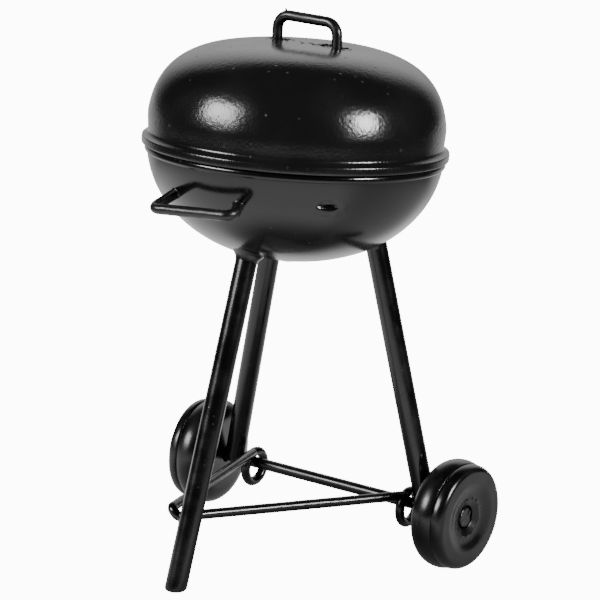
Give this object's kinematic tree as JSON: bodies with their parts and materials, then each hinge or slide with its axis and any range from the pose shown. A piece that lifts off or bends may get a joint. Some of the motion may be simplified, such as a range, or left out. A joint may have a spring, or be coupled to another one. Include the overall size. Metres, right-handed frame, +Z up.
{
  "type": "miniature kettle grill",
  "caption": "Miniature black kettle grill: domed lid over a round bowl, wire handles, raked rod legs, axle with wheels, wire brace and lift-out cooking grate.",
  "frame": {"origin": "on the floor, on the kettle's axis, which is the middle of the object's box", "axes": "+Z up; X along the axle, +X to the right seen from the single leg; the single leg and the front handle are towards -Y, the wheels towards +Y"},
  "size_m": [0.0572, 0.0542, 0.089],
  "materials": {
    "lid_paint": "gloss black enamel with slight orange peel, pinholes and dust nibs",
    "bowl_paint": "semi-gloss black enamel",
    "frame_paint": "gloss black enamel over wire, rod and solder",
    "wheel_paint": "satin black enamel, glossier on the tread",
    "grate_steel": "plain wire, slightly dulled"
  },
  "bodies": {
    "stand": {"bowl_shell": "bowl_paint", "front_handle": "frame_paint", "rear_handle": "frame_paint", "front_handle_solder_left": "frame_paint", "front_handle_solder_right": "frame_paint", "rear_handle_solder_left": "frame_paint", "rear_handle_solder_right": "frame_paint", "front_leg": "frame_paint", "left_leg": "frame_paint", "right_leg": "frame_paint", "front_leg_solder": "frame_paint", "left_leg_solder": "frame_paint", "right_leg_solder": "frame_paint", "axle": "frame_paint", "left_axle_solder": "frame_paint", "right_axle_solder": "frame_paint", "brace_wire": "frame_paint", "brace_solder": "frame_paint"},
    "lid": {"lid_shell": "lid_paint", "lid_handle": "lid_paint", "lid_handle_solder_left": "lid_paint", "lid_handle_solder_right": "lid_paint"},
    "grate": {"grate_rim": "grate_steel", "grate_bar_01": "grate_steel", "grate_bar_02": "grate_steel", "grate_bar_03": "grate_steel", "grate_bar_04": "grate_steel", "grate_bar_05": "grate_steel", "grate_bar_06": "grate_steel", "grate_bar_07": "grate_steel", "grate_bar_08": "grate_steel", "grate_bar_09": "grate_steel", "grate_bar_10": "grate_steel", "grate_bar_11": "grate_steel", "grate_bar_12": "grate_steel", "grate_bar_13": "grate_steel", "grate_bar_14": "grate_steel", "grate_bar_15": "grate_steel"},
    "left_wheel": {"left_wheel": "wheel_paint"},
    "right_wheel": {"right_wheel": "wheel_paint"}
  },
  "joints": [
    {"name": "lid_lift", "type": "slide", "parent": "stand", "child": "lid", "axis": [0, 0, 1], "range_m": [0, 0.03]},
    {"name": "grate_lift", "type": "slide", "parent": "stand", "child": "grate", "axis": [0, 0, 1], "range_m": [0, 0.009]},
    {"name": "left_wheel_spin", "type": "hinge", "parent": "stand", "child": "left_wheel", "pos_m": [-0.025, 0.01612, 0.0091], "axis": [1, 0, 0], "continuous": true},
    {"name": "right_wheel_spin", "type": "hinge", "parent": "stand", "child": "right_wheel", "pos_m": [0.025, 0.01612, 0.0091], "axis": [1, 0, 0], "continuous": true}
  ]
}
